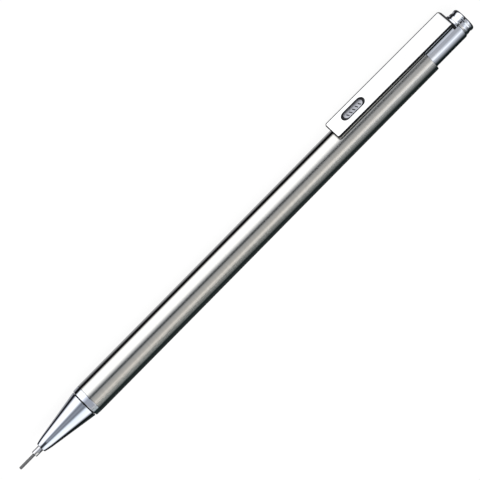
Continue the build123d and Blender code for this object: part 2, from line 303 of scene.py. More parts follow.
def polished(name, dark, light, rough_low, rough_high, grain=(1500, 1500, 1500)):
    """Mirror-polished metal with faint wipe marks and fingerprints."""
    n = Nodes(name)
    smudge = n.noise((180, 420, 420), detail=4)
    scratches = n.noise(grain, detail=3)
    tint = n.ramp(smudge, (0.35, dark), (0.65, light))
    return n.use(
        Base_Color=tint,
        Metallic=1.0,
        Roughness=n.spread(smudge, rough_low, rough_high),
        Normal=n.bump(scratches, 0.0000004),
    )


def turned(name, dark, light, roughness):
    """Metal with the fine rings that a lathe tool leaves."""
    n = Nodes(name)
    rings = n.noise((14000, 120, 120), detail=3)
    stain = n.noise((300, 500, 500), detail=4)
    tint = n.ramp(stain, (0.35, dark), (0.65, light))
    return n.use(
        Base_Color=tint,
        Metallic=1.0,
        Roughness=n.spread(rings, roughness * 0.75, roughness * 1.25),
        Normal=n.bump(rings, 0.000002),
    )


def moulded(name, dark, light, roughness, grain_height, **extra):
    """Moulded plastic or rubber with a fine surface grain."""
    n = Nodes(name)
    grain = n.noise((9000, 9000, 9000), detail=3)
    shade = n.noise((260, 700, 700), detail=3)
    tint = n.ramp(shade, (0.35, dark), (0.65, light))
    return n.use(
        Base_Color=tint,
        Roughness=n.spread(grain, roughness * 0.85, roughness * 1.15),
        Normal=n.bump(grain, grain_height),
        **extra,
    )


def graphite():
    """Dark polymer graphite with a slight metallic sheen and fine lengthwise drawing marks."""
    n = Nodes("graphite")
    marks = n.noise((500, 20000, 20000), detail=2)
    flecks = n.noise((30000, 30000, 30000), detail=2)
    tint = n.ramp(flecks, (0.3, (0.14, 0.14, 0.145)), (0.75, (0.20, 0.20, 0.205)))
    return n.use(
        Base_Color=tint,
        Metallic=0.35,
        Roughness=n.spread(marks, 0.40, 0.50),
        Normal=n.bump(marks, 0.0000006),
    )


STEEL = brushed_barrel()
CHROME = polished("polished_steel", (0.69, 0.72, 0.78), (0.74, 0.765, 0.82), 0.03, 0.075)
CLIP_STEEL = polished("clip_steel", (0.66, 0.665, 0.67), (0.70, 0.705, 0.71), 0.04, 0.08, (400, 4000, 4000))
DRAWN_STEEL = turned("spring_steel", (0.56, 0.56, 0.57), (0.66, 0.66, 0.67), 0.22)
# Painted shade: near-black steel that stands in for the shadow in the gap behind the polished band.
RECESS_SHADE_STEEL = turned("recess_painted_shade", (0.05, 0.05, 0.055), (0.11, 0.11, 0.115), 0.4)
# Painted shade: the clip's sheared sides are duller than its faces, and this near-black colour also stands in for
# the shade along its edges.
SIDE_SHADE_STEEL = turned("clip_side_painted_shade", (0.045, 0.045, 0.05), (0.09, 0.09, 0.095), 0.3)
SLEEVE_STEEL = polished("sleeve_steel", (0.62, 0.62, 0.64), (0.68, 0.68, 0.70), 0.04, 0.09, (900, 6000, 6000))
EMBLEM_STEEL = turned("emblem_steel", (0.30, 0.31, 0.34), (0.42, 0.43, 0.47), 0.3)
BRASS = turned("brass", (0.60, 0.43, 0.19), (0.74, 0.57, 0.29), 0.24)
ENAMEL = moulded(
    "dark_enamel", (0.004, 0.004, 0.006), (0.012, 0.012, 0.016), 0.22, 0.0000005, Specular_IOR_Level=0.15
)
BLACK_PLASTIC = moulded("black_plastic", (0.022, 0.022, 0.023), (0.04, 0.04, 0.042), 0.5, 0.000002)
TUBE_PLASTIC = moulded(
    "clear_plastic", (0.74, 0.76, 0.77), (0.82, 0.83, 0.84), 0.3, 0.000001, Transmission_Weight=0.35
)
ERASER = moulded("white_eraser", (0.80, 0.79, 0.76), (0.88, 0.87, 0.85), 0.8, 0.000006)
RUBBER = moulded("black_rubber", (0.015, 0.015, 0.015), (0.03, 0.03, 0.03), 0.7, 0.000004)
GRAPHITE = graphite()

# ---- Turned pieces ------------------------------------------------------------------------------
BARREL_R = radius("barrel_tube")
BARREL_FRONT, BARREL_REAR = span("barrel_tube")
WALL = 0.30
FIT = 0.02


def place(piece, body, slot, *nodes):
    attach(piece, body)
    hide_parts(*nodes)


FRONT_ROUND = 0.05
REAR_ROUND = 0.14
FLAT = 0.05  # a support point this far from each rounding keeps the flat's shading flat
barrel = lathe(
    "barrel_shell",
    [(BARREL_FRONT, BARREL_R - WALL)]
    + arc(BARREL_FRONT + FRONT_ROUND, BARREL_R - FRONT_ROUND, FRONT_ROUND, -90, 0)
    + [(BARREL_FRONT + FRONT_ROUND + FLAT, BARREL_R), (BARREL_REAR - REAR_ROUND - FLAT, BARREL_R)]
    + arc(BARREL_REAR - REAR_ROUND, BARREL_R - REAR_ROUND, REAR_ROUND, 0, 90)
    + [(BARREL_REAR, BARREL_R - WALL)],
    STEEL,
)
place(barrel, "barrel", "barrel_steel", "barrel_tube")

# The polished band, with the insert behind it that the nose screws into.
BAND_FRONT, INSERT_REAR = span("front_ring")
NOSE_FRONT, NOSE_REAR = span("nose_cone")
GUIDE_R = 1.81
THREAD_BORE_R = 2.35
SHOULDER = 20.25
BAND_ROUND = 0.10
BAND_REAR_ROUND = 0.06
BAND_TAPER = 0.052  # the polishing wheel leaves the band a hair slimmer towards the nose
band_flat = [
    (BAND_FRONT + BAND_ROUND + FLAT, BARREL_R - BAND_TAPER),
    (BARREL_FRONT - FIT - BAND_REAR_ROUND - FLAT, BARREL_R),
]
front_band = lathe(
    "front_band",
    [(BAND_FRONT, THREAD_BORE_R)]
    + arc(BAND_FRONT + BAND_ROUND, BARREL_R - BAND_TAPER - BAND_ROUND, BAND_ROUND, -90, 0)
    + band_flat
    + arc(BARREL_FRONT - FIT - BAND_REAR_ROUND, BARREL_R - BAND_REAR_ROUND, BAND_REAR_ROUND, 0, 90)
    + [
        (BARREL_FRONT - FIT, BARREL_R - WALL - FIT),
        (INSERT_REAR, BARREL_R - WALL - FIT),
        (INSERT_REAR, GUIDE_R),
        (SHOULDER, GUIDE_R),
        (SHOULDER, THREAD_BORE_R),
    ],
    CHROME,
)
place(front_band, "barrel", "polished_steel", "front_ring")

# Nose cone, its bore and its thread.
NOSE_R = radius("nose_cone")
NOSE_BASE = 12.97
NOSE_TIP_R = 0.96
BEFORE_KNEE = (2.6, 1.165)
NOSE_KNEE = (3.60, 1.37)  # the cone's slope changes softly here
BEHIND_KNEE = (4.6, 1.528)
THREAD_CREST_R = 2.30
THREAD_CORE_R = 2.12
THREAD_START, THREAD_END = 14.6, 18.6
THREAD_PITCH = 0.5
THREAD_RINGS = 64
THREAD_FLANK = 0.36  # half the ridge's width, as a share of the pitch
THREAD_FADE = 0.3
RELIEF = 0.2  # the plain collar ends this far in front of the thread
MOUTH_R = 0.63
MOUTH_EDGE = 0.06
SLEEVE_HOLE_R = 0.73
RETAINER_SEAT, RETAINER_R = 4.40, 1.00
CHUCK_SEAT, CHUCK_ROOM_R = 6.60, 1.25
GUIDE_SEAT, GUIDE_ROOM_R = 9.30, 1.85
nose_outer = [
    (NOSE_FRONT, MOUTH_R),
    (NOSE_FRONT, NOSE_TIP_R - 0.04),
    (NOSE_FRONT + MOUTH_EDGE, NOSE_TIP_R + 0.02),
    BEFORE_KNEE,
    NOSE_KNEE,
    BEHIND_KNEE,
    (NOSE_BASE, NOSE_R),
    (NOSE_BASE, THREAD_CREST_R),
    (THREAD_START - RELIEF, THREAD_CREST_R),
]
nose_outer += [
    (THREAD_START + (THREAD_END - THREAD_START) * i / THREAD_RINGS, THREAD_CORE_R)
    for i in range(THREAD_RINGS + 1)
]
nose_bore = [
    (NOSE_REAR, THREAD_CORE_R),
    (NOSE_REAR, GUIDE_ROOM_R),
    (GUIDE_SEAT, GUIDE_ROOM_R),
    (GUIDE_SEAT, CHUCK_ROOM_R),
    (CHUCK_SEAT, CHUCK_ROOM_R),
    (CHUCK_SEAT, RETAINER_R),
    (RETAINER_SEAT, RETAINER_R),
    (RETAINER_SEAT, SLEEVE_HOLE_R),
]


def nose_thread(place, reach, angle):
    """The thread's ridge winds right-handed round its core and fades in and out."""
    if not THREAD_START <= place <= THREAD_END or abs(reach - THREAD_CORE_R) > 1e-6:
        return reach
    phase = (-place / THREAD_PITCH - angle / (2 * math.pi)) % 1.0
    ridge = max(0.0, 1 - abs(phase - 0.5) / THREAD_FLANK)
    fade = min(1.0, (place - THREAD_START) / THREAD_FADE, (THREAD_END - place) / THREAD_FADE)
    return reach + (THREAD_CREST_R - THREAD_CORE_R) * ridge * fade


nose = lathe("nose_shell", nose_outer + nose_bore, CHROME, edge=0.05, shape=nose_thread)
# Everything behind the cone's base (collar, thread and rear of the bore) gets painted shade, for the dark gap at
# the band.
second_finish(nose, RECESS_SHADE_STEEL, lambda centre, normal: station(centre.x) > NOSE_BASE + 0.02)
place(nose, "nose", "polished_steel", "nose_cone")

# Lead sleeve: a drawn tube with rounded lips and a flange inside the nose.
SLEEVE_R = mount("lead_sleeve_tip")["dims"]["r_mm"]
SLEEVE_FRONT, SLEEVE_REAR = span("lead_sleeve")
SLEEVE_BORE_R = 0.31
STEM_REAR, STEM_R = 4.42, 0.72
sleeve = lathe(
    "lead_pipe",
    [
        (SLEEVE_FRONT, SLEEVE_BORE_R),
        (SLEEVE_FRONT, SLEEVE_R),
        (NOSE_FRONT, SLEEVE_R),
        (STEM_REAR, STEM_R),
        (STEM_REAR, radius("lead_sleeve")),
        (SLEEVE_REAR, radius("lead_sleeve")),
        (SLEEVE_REAR, SLEEVE_BORE_R),
    ],
    SLEEVE_STEEL,
    edge=0.08,
    segments=72,
)
place(sleeve, "nose_carrier", "spring_steel", "lead_sleeve")

# The lead, worn to a slight chisel at its point.
LEAD_FRONT, LEAD_REAR = span("lead")
LEAD_R = radius("lead")
POINT_R = LEAD_R * 0.72
POINT_LENGTH = 0.10
WEAR_DEPTH = 0.05
WEAR_LENGTH = 0.12
WEAR_SIDE = 0.6  # the angle of the side that is worn most


def worn_point(place, reach, angle):
    """The point is worn more on one side."""
    worn = max(0.0, 1 - (place - LEAD_FRONT) / WEAR_LENGTH)
    return reach - WEAR_DEPTH * max(0.0, math.cos(angle - WEAR_SIDE)) * worn


lead = lathe(
    "lead_stick",
    [
        (LEAD_FRONT, 0.0),
        (LEAD_FRONT, POINT_R),
        (LEAD_FRONT + POINT_LENGTH, LEAD_R),
        (LEAD_REAR, LEAD_R),
        (LEAD_REAR, 0.0),
    ],
    GRAPHITE,
    edge=0.03,
    closed=False,
    segments=48,
    shape=worn_point,
)
place(lead, "writing_lead", "graphite", "lead")

# Crown tube.
CROWN_R = 2.54
CROWN_BORE_R = 2.34
CROWN_MOUTH, CROWN_MOUTH_R = 106.0, 2.42
CROWN_FRONT, CROWN_REAR = span("crown")
CROWN_STEP = BARREL_REAR - 0.15
RIM_REACH, RIM_DEPTH = 0.34, 0.11
RIM_STEPS = 24
crown = lathe(
    "crown_tube",
    [
        (CROWN_FRONT, CROWN_BORE_R),
        (CROWN_FRONT, BARREL_R - WALL - FIT),
        (CROWN_STEP, BARREL_R - WALL - FIT),
        (CROWN_STEP, CROWN_R),
    ]
    + arc(CROWN_REAR - RIM_REACH, CROWN_R - RIM_DEPTH, RIM_DEPTH, 0, 90, RIM_STEPS, RIM_REACH)
    + [(CROWN_MOUTH, CROWN_MOUTH_R), (CROWN_MOUTH, CROWN_BORE_R)],
    CHROME,
    edge=0.03,
)
place(crown, "barrel", "polished_steel", "crown")

# Push button: a skirt, a flange, a shallow waist and a head with a rounded top edge.
BUTTON_FRONT, BUTTON_REAR = span("push_button")
BUTTON_R = radius("push_button")
SKIRT_R = 2.22
HOLLOW_R, HOLLOW_REAR = 1.60, 109.25
EDGE_R = 0.48
EDGE_STEPS = 9
DOME, DOME_R = 0.06, 1.8
FLANGE_FRONT = CROWN_REAR - 0.04
FLANGE_ROUND = 0.12
WAIST, WAIST_REACH, WAIST_DEPTH = 109.15, 0.40, 0.09
WAIST_STEPS = 10
waist = [
    (
        WAIST + WAIST_REACH * i / WAIST_STEPS,
        BUTTON_R - WAIST_DEPTH * (1 + math.cos(math.pi * i / WAIST_STEPS)) / 2,
    )
    for i in range(-WAIST_STEPS, WAIST_STEPS + 1)
]
dome = [(BUTTON_REAR - DOME * (r / DOME_R) ** 2, r) for r in (1.5, 1.1, 0.7, 0.35)]
button = lathe(
    "button_cap",
    [
        (HOLLOW_REAR, 0.0),
        (HOLLOW_REAR, HOLLOW_R),
        (BUTTON_FRONT, HOLLOW_R),
        (BUTTON_FRONT, SKIRT_R),
        (FLANGE_FRONT, SKIRT_R),
    ]
    + arc(FLANGE_FRONT + FLANGE_ROUND, BUTTON_R - FLANGE_ROUND, FLANGE_ROUND, -90, 0)
    + waist
    + arc(BUTTON_REAR - DOME - EDGE_R, BUTTON_R - EDGE_R, EDGE_R, 0, 90, EDGE_STEPS)
    + dome
    + [(BUTTON_REAR, 0.0)],
    CHROME,
    edge=0.08,
    closed=False,
)
place(button, "button", "polished_steel", "push_button")

# Eraser and its holder.
ERASER_FRONT, ERASER_REAR = span("eraser")
ERASER_R = radius("eraser")
RUBBED_LENGTH = 0.6


def rubbed(place, reach, angle):
    """The eraser's end is rubbed a little out of round."""
    worn = max(0.0, 1 - (ERASER_REAR - place) / RUBBED_LENGTH)
    return reach * (1 - worn * (0.03 + 0.02 * math.sin(2 * angle) + 0.01 * math.sin(5 * angle)))


eraser = lathe(
    "eraser_plug",
    [
        (ERASER_FRONT, 0.0),
        (ERASER_FRONT, ERASER_R),
        (ERASER_REAR - 0.3, ERASER_R),
        (ERASER_REAR - 0.06, ERASER_R - 0.24),
        (ERASER_REAR, 0.6),
        (ERASER_REAR, 0.0),
    ],
    ERASER,
    edge=0.15,
    closed=False,
    segments=96,
    shape=rubbed,
)
place(eraser, "eraser_unit", "white_eraser", "eraser")

HOLDER_FRONT, HOLDER_REAR = span("eraser_holder")
HOLDER_R = radius("eraser_holder")
PLUG_TIP_R, PLUG_R = 0.95, 1.17
PLUG_TIP, PLUG_REAR = 0.25, 104.65
CUP_FLOOR = 105.0
CUP_BORE_R = ERASER_R + FIT
holder = lathe(
    "eraser_cup",
    [
        (HOLDER_FRONT, 0.0),
        (HOLDER_FRONT, PLUG_TIP_R),
        (HOLDER_FRONT + PLUG_TIP, PLUG_R),
        (PLUG_REAR, PLUG_R),
        (PLUG_REAR, HOLDER_R),
        (HOLDER_REAR, HOLDER_R),
        (HOLDER_REAR, CUP_BORE_R),
        (CUP_FLOOR, CUP_BORE_R),
        (CUP_FLOOR, 0.0),
    ],
    DRAWN_STEEL,
    edge=0.07,
    closed=False,
    segments=96,
)
place(holder, "eraser_unit", "spring_steel", "eraser_holder")

# ---- Pocket clip --------------------------------------------------------------------------------
PIVOT = Vector(joint("clip_flex")["pos_m"])
ACROSS = Vector(joint("clip_flex")["axis"])
FACE_NORMAL = Vector(mount("clip_face")["axis"])
TO_FREE_END = FACE_NORMAL.cross(ACROSS).normalized()
OUTWARD = ACROSS.cross(ALONG)
CLIP_WIDTH = 4.5 * MM
CLIP_T = 0.6 * MM
CLIP_EDGE = 0.04 * MM
CLIP_LOW_EDGE = 0.38 * MM
CLIP_END_EDGE = 0.24 * MM
CLIP_CORNER_R = 0.55 * MM
CLIP_BEND_R = 0.70 * MM
CLIP_FLEX = 1.2 * MM  # the strip bends over this length
CORNER_STEPS = 8
BEND_STEPS = 10
FLEX_STEPS = 10
FACE_SHARES = (0.04, 0.2, 0.35, 0.5, 0.65, 0.8, 0.96)  # points on a flat between two rounded edges
TAB_ROOT_HALF = 1.67 * MM
ROOT_SINK = 0.03 * MM
CLIP_REAR_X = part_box("clip_foot")[0].x
CLIP_FREE_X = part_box("clip_arm")[1].x
ARM_LENGTH = (CLIP_FREE_X - PIVOT.x) / TO_FREE_END.x
BEND_START = (PIVOT.x - CLIP_REAR_X - CLIP_BEND_R) / TO_FREE_END.x
AXIS_POINT = Vector((CLIP_REAR_X, AXIS_Y, AXIS_Z))


def band_section(width, thick):
    """Points round the strip's section as (across, out). Its lower outer edge is the most rounded."""
    low = min(CLIP_LOW_EDGE, thick * 0.75)
    edge = min(CLIP_EDGE, thick * 0.2)
    corners = ((1, 1, 0, low), (-1, 1, 90, edge), (-1, -1, 180, edge), (1, -1, 270, edge))
    points = []
    for side_w, side_t, start, size in corners:
        centre_w, centre_t = side_w * (width / 2 - size), side_t * (thick / 2 - size)
        for step in range(CORNER_STEPS + 1):
            a = math.radians(start + 90 * step / CORNER_STEPS)
            points.append((centre_w + size * math.cos(a), centre_t + size * math.sin(a)))
    flat = []
    for i, point in enumerate(points):
        flat.append(point)
        if i % (CORNER_STEPS + 1) == CORNER_STEPS:
            following = points[(i + 1) % len(points)]
            for share in FACE_SHARES:
                flat.append(tuple(p + (q - p) * share for p, q in zip(point, following)))
    return flat


def quarter(distance, size):
    """How far a rounded corner of that size falls back, at a distance from its end."""
    inside = max(0.0, size - distance)
    return size - math.sqrt(max(0.0, size**2 - inside**2))


def clip_rings(build):
    """Rings of the clip's strip from its free end, round the bend and down the tab."""
    rings = []

    def ring(centre, out, width, thick):
        section = band_section(width, thick)
        rings.append([build.verts.new(centre + ACROSS * a + out * b) for a, b in section])

    free_end = PIVOT + TO_FREE_END * ARM_LENGTH
    near = [CLIP_CORNER_R * (1 - math.cos(math.radians(a))) for a in range(10, 91, 10)]
    edge_steps = [CLIP_END_EDGE * s for s in (0.02, 0.12, 0.3, 0.55, 0.8)]
    straight = [ARM_LENGTH * s for s in (0.03, 0.06, 0.12, 0.25, 0.4, 0.55, 0.7, 0.82, 0.9, 0.95)]
    flex = [ARM_LENGTH - CLIP_FLEX * i / FLEX_STEPS for i in range(FLEX_STEPS + 2, -1, -1)]
    stops = sorted(edge_steps + near + straight + flex + [ARM_LENGTH + BEND_START])
    for distance in stops:
        face = free_end - TO_FREE_END * distance
        thick = CLIP_T - 2 * quarter(distance, CLIP_END_EDGE)
        width = CLIP_WIDTH - 2 * quarter(distance, CLIP_CORNER_R)
        ring(face - FACE_NORMAL * CLIP_T / 2, FACE_NORMAL, width, thick)

    corner = free_end - TO_FREE_END * stops[-1]
    hub = corner - FACE_NORMAL * CLIP_BEND_R
    sweep = FACE_NORMAL.angle(-ALONG)
    for i in range(1, BEND_STEPS + 1):
        out = Matrix.Rotation(sweep * i / BEND_STEPS, 3, ACROSS) @ FACE_NORMAL
        if out.x > FACE_NORMAL.x:
            out = Matrix.Rotation(-sweep * i / BEND_STEPS, 3, ACROSS) @ FACE_NORMAL
        centre = hub + out * (CLIP_BEND_R - CLIP_T / 2)
        behind = (hub + out * CLIP_BEND_R).x - CLIP_REAR_X
        ring(centre, out, CLIP_WIDTH - 2 * quarter(behind, CLIP_CORNER_R), CLIP_T)

    # The tab narrows to its root, which is shaped to the crown.
    top = rings[-1]
    heights = [(v.co - AXIS_POINT).dot(OUTWARD) for v in top]
    for share in (0.15, 0.35, 0.55, 0.75, 0.9, 1.0):
        narrow = 1 + (TAB_ROOT_HALF / (CLIP_WIDTH / 2 - CLIP_CORNER_R) - 1) * share
        lower = []
        for vert, height in zip(top, heights):
            across = (vert.co - AXIS_POINT).dot(ACROSS)
            root = math.sqrt((CROWN_R * MM) ** 2 - (across * narrow) ** 2) - ROOT_SINK
            drop = (height - root) * share
            lower.append(build.verts.new(vert.co - OUTWARD * drop - ACROSS * across * (1 - narrow)))
        rings.append(lower)
    return rings


def close_root(build, ring):
    """Close the tab's end across its thickness, so that it follows the crown it is brazed to."""
    count = len(ring)
    side = count - (len(FACE_SHARES) + 1) // 2  # the middle of the strip's lower edge
    for k in range(count // 2):
        corners = [ring[(side + i) % count] for i in (k, k + 1, -k - 1, -k)]
        build.faces.new(list(dict.fromkeys(corners)))


def painted_shade_sides(centre, normal):
    """The strip's long sides and its free end: duller sheared steel, painted near black as painted shade, darker
    than its polished faces.
    """
    return not -0.25 < normal.dot(ACROSS) < 0.05 or normal.dot(TO_FREE_END) > 0.25


def make_clip():
    build = bmesh.new()
    rings = clip_rings(build)
    skin(build, rings, False)
    build.faces.new(rings[0])
    close_root(build, rings[-1])
    clip = finish_mesh("clip_strip", build, CLIP_STEEL)
    # Painted shade on the clip's long sides and free end.
    second_finish(clip, SIDE_SHADE_STEEL, painted_shade_sides)
    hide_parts("clip_arm", "clip_foot")
    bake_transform(clip)


def clip_disc(name, centre, profile, material, stretch=0.0, along=None, segments=64):
    """A form with its axis along the clip's face normal; stretch pulls its two halves apart."""
    along = along or TO_FREE_END
    across = FACE_NORMAL.cross(along)
    build = bmesh.new()
    rings = []
    for reach, height in profile:
        if reach < 1e-9:
            rings.append([build.verts.new(centre + FACE_NORMAL * height)])
            continue
        ring = []
        for i in range(segments):
            a = 2 * math.pi * (i + 0.5) / segments
            shift = math.copysign(stretch, math.cos(a))
            flat = along * (reach * math.cos(a) + shift) + across * reach * math.sin(a)
            ring.append(build.verts.new(centre + flat + FACE_NORMAL * height))
        rings.append(ring)
    skin(build, rings, False)
    for ring in (rings[0], rings[-1]):
        if len(ring) > 1:
            build.faces.new(ring)
    return finish_mesh(name, build, material)


def make_bead():
    """The bead pressed out of the strip, which rides on the barrel."""
    inner = EMBLEM_CENTRE - FACE_NORMAL * CLIP_T
    size = 0.70 * MM
    foot = 0.15 * MM
    profile = [(size + foot, 0.01 * MM)]
    profile += [
        (size * math.cos(math.radians(a)), -size * math.sin(math.radians(a))) for a in range(6, 90, 12)
    ]
    profile += [(0.0, -size)]
    bead = clip_disc("clip_bead", inner, profile, CLIP_STEEL)
    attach(bead, "clip")


def inlay(name, centre, half_width, half_length, low, high, material, along=None):
    """A flat piece of the emblem with round ends and a bevelled rim, in millimetres."""
    bevel = 0.03
    profile = [(half_width, low), (half_width, high - bevel / 2), (half_width - bevel, high)]
    profile = [(reach * MM, height * MM) for reach, height in profile]
    piece = clip_disc(name, centre, profile, material, (half_length - half_width) * MM, along)
    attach(piece, "clip")
    return piece


def make_emblem():
    """A plain steel field in a dark border, with a row of short dark strokes."""
    plate = inlay("emblem_plate", EMBLEM_CENTRE, 1.04, 2.74, -0.01, 0.03, ENAMEL)
    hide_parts("clip_emblem")
    field = EMBLEM_CENTRE - ACROSS * 0.02 * MM
    inlay("emblem_field", field, 0.84, 2.20, 0.02, 0.045, EMBLEM_STEEL)
    slant = (ACROSS + TO_FREE_END * 0.45).normalized()
    pitch = 0.72 * MM
    row = EMBLEM_CENTRE - ACROSS * 0.30 * MM
    for i in range(5):
        centre = row + TO_FREE_END * (i - 2) * pitch
        inlay(f"emblem_stroke_{i + 1}", centre, 0.11, 0.38, 0.04, 0.06, ENAMEL, slant)


emblem_low, emblem_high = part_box("clip_emblem")
emblem_x = (emblem_low.x + emblem_high.x) / 2
EMBLEM_CENTRE = PIVOT + TO_FREE_END * ((emblem_x - PIVOT.x) / TO_FREE_END.x)
make_clip()
make_bead()
make_emblem()


# ---- Return spring ------------------------------------------------------------------------------
def make_spring():
    """The coil round the chuck's stem, which shortens as the button is pressed; here it is one fixed coil on the
    barrel.
    """
    front, rear = span("return_spring")
    wire = 0.15
    coil_r = radius("return_spring") - wire
    turns = 10
    per_turn = 32
    round_wire = 12
    build = bmesh.new()
    rings = []
    for i in range(turns * per_turn + 1):
        share = i / (turns * per_turn)
        angle = 2 * math.pi * turns * share
        out = Vector((0, math.cos(angle), math.sin(angle)))
        x = FRONT_X - (front + wire + (rear - front - 2 * wire) * share) * MM
        centre = Vector((x, AXIS_Y, AXIS_Z)) + out * coil_r * MM
        ring = []
        for k in range(round_wire):
            a = 2 * math.pi * k / round_wire
            ring.append(build.verts.new(centre + (out * math.cos(a) + ALONG * math.sin(a)) * wire * MM))
        rings.append(ring)
    skin(build, rings, False)
    build.faces.new(rings[0])
    build.faces.new(rings[-1])
    spring = finish_mesh("return_coil", build, DRAWN_STEEL)
    place(spring, "barrel", "spring_steel", "return_spring")
    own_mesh(spring)


make_spring()

# ---- CAD nodes that stay, with their finishes ---------------------------------------------------
FINISHES = {
    "guide_sleeve": BRASS,
    "chuck": BRASS,
    "chuck_ring": BRASS,
    "chuck_connector": BLACK_PLASTIC,
    "crown_bush": BLACK_PLASTIC,
    "lead_tube": TUBE_PLASTIC,
    "spare_leads": GRAPHITE,
    "lead_retainer": RUBBER,
}
for node, material in FINISHES.items():
    mesh = frame["nodes"][node].data
    mesh.materials.clear()
    mesh.materials.append(material)
    mesh.shade_smooth()


# ---- Studio -------------------------------------------------------------------------------------
VIEW_LIFT = math.radians(29.8)  # how far the camera looks down on the table
VIEW_TURN = math.radians(45.37)  # how far the camera is turned about its own axis
VIEW_DISTANCE = 0.62
VIEW_WIDTH = 0.0861  # what the picture covers at the pencil
VIEW_MIDDLE = -0.00008  # the place along X at the picture's middle
VIEW_SHIFT = 0.00076  # the pencil's axis lies this far off the picture's middle
SENSOR = 36.0


def make_camera():
    back = Vector((0, -math.cos(VIEW_LIFT), math.sin(VIEW_LIFT)))
    below = Vector((0, -math.sin(VIEW_LIFT), -math.cos(VIEW_LIFT)))
    to_button = -ALONG
    right = to_button * math.cos(VIEW_TURN) - below * math.sin(VIEW_TURN)
    up = to_button * math.sin(VIEW_TURN) + below * math.cos(VIEW_TURN)
    target = Vector((VIEW_MIDDLE, AXIS_Y, AXIS_Z)) + below * VIEW_SHIFT
    data = bpy.data.cameras.new("camera")
    data.sensor_width = SENSOR
    data.lens = SENSOR * VIEW_DISTANCE / VIEW_WIDTH
    data.clip_start, data.clip_end = 0.01, 20
    camera = bpy.data.objects.new("camera", data)
    bpy.context.scene.collection.objects.link(camera)
    camera.matrix_world = Matrix.Translation(target + back * VIEW_DISTANCE) @ Matrix(
        (right, up, back)
    ).transposed().to_4x4()
    bpy.context.scene.camera = camera


def make_floor():
    build = bmesh.new()
    bmesh.ops.create_grid(build, x_segments=8, y_segments=8, size=6.0)
    mesh = bpy.data.meshes.new("floor")
    build.to_mesh(mesh)
    build.free()
    material = bpy.data.materials.new("floor_white")
    material.use_nodes = True
    shader = material.node_tree.nodes["Principled BSDF"]
    shader.inputs["Base Color"].default_value = (0.12, 0.12, 0.12, 1)
    shader.inputs["Roughness"].default_value = 1.0
    shader.inputs["Specular IOR Level"].default_value = 0.0
    shader.inputs["Emission Color"].default_value = (1, 1, 1, 1)
    shader.inputs["Emission Strength"].default_value = 0.92
    mesh.materials.append(material)
    floor = bpy.data.objects.new("floor", mesh)
    bpy.context.scene.collection.objects.link(floor)
    floor.visible_glossy = False


# What polished metal sees round the pencil, by the angle about the pencil's axis: 0 is level in
# front, 90 straight up, 180 level behind and -90 straight down. (angle, red, green, blue)
ROUND_THE_BARREL = [
    (-180, 0.06, 0.06, 0.06),
    (-145, 0.20, 0.20, 0.21),
    (-118, 0.62, 0.62, 0.64),
    (-106, 0.36, 0.36, 0.38),
    (-96, 0.10, 0.10, 0.11),
    (-89, 0.00, 0.00, 0.00),
    (-71, 0.00, 0.00, 0.00),
    (-66, 0.18, 0.18, 0.18),
    (-60, 1.00, 1.00, 1.00),
    (-51, 1.75, 1.75, 1.75),
    (-6, 1.75, 1.75, 1.74),
    (4, 1.50, 1.51, 1.52),
    (14, 0.78, 0.79, 0.81),
    (22, 0.28, 0.29, 0.31),
    (27, 0.03, 0.04, 0.04),
    (32, 0.03, 0.04, 0.04),
    (38, 0.34, 0.34, 0.34),
    (46, 0.54, 0.535, 0.52),
    (60, 0.62, 0.60, 0.565),
    (69, 0.72, 0.685, 0.635),
    (77, 1.06, 0.995, 0.90),
    (86, 0.74, 0.705, 0.655),
    (96, 0.33, 0.33, 0.31),
    (110, 0.23, 0.25, 0.24),
    (122, 0.155, 0.17, 0.17),
    (134, 0.01, 0.02, 0.02),
    (168, 0.03, 0.04, 0.04),
    (180, 0.06, 0.06, 0.06),
]
BEHIND_THE_BUTTON = [
    (-180, 0.02, 0.02, 0.02),
    (-140, 0.10, 0.10, 0.11),
    (-112, 0.12, 0.12, 0.13),
    (-96, 0.03, 0.03, 0.03),
    (-73, 0.00, 0.00, 0.00),
    (-66, 0.25, 0.25, 0.26),
    (-58, 1.25, 1.25, 1.27),
    (-48, 1.60, 1.60, 1.60),
    (-6, 1.60, 1.60, 1.60),
    (4, 0.56, 0.57, 0.60),
    (13, 0.27, 0.28, 0.30),
    (22, 0.66, 0.68, 0.71),
    (30, 0.84, 0.86, 0.91),
    (38, 0.50, 0.51, 0.54),
    (52, 0.52, 0.53, 0.56),
    (62, 0.50, 0.515, 0.545),
    (72, 0.36, 0.37, 0.39),
    (82, 0.51, 0.525, 0.55),
    (92, 0.80, 0.82, 0.865),
    (101, 0.82, 0.84, 0.88),
    (112, 0.46, 0.475, 0.50),
    (124, 0.27, 0.28, 0.30),
    (136, 0.08, 0.085, 0.09),
    (146, 0.00, 0.01, 0.01),
    (180, 0.02, 0.02, 0.02),
]
BESIDE_THE_BAND = [
    (-180, 0.03, 0.03, 0.03),
    (-112, 0.35, 0.36, 0.38),
    (-90, 0.00, 0.00, 0.00),
    (-73, 0.00, 0.00, 0.00),
    (-58, 1.30, 1.30, 1.30),
    (-4, 1.70, 1.70, 1.70),
    (10, 0.94, 0.97, 1.05),
    (26, 0.46, 0.485, 0.54),
    (74, 0.43, 0.45, 0.50),
    (87, 0.36, 0.38, 0.42),
    (103, 0.18, 0.19, 0.215),
    (113, 0.145, 0.155, 0.18),
    (122, 0.02, 0.025, 0.03),
    (180, 0.03, 0.03, 0.03),
]
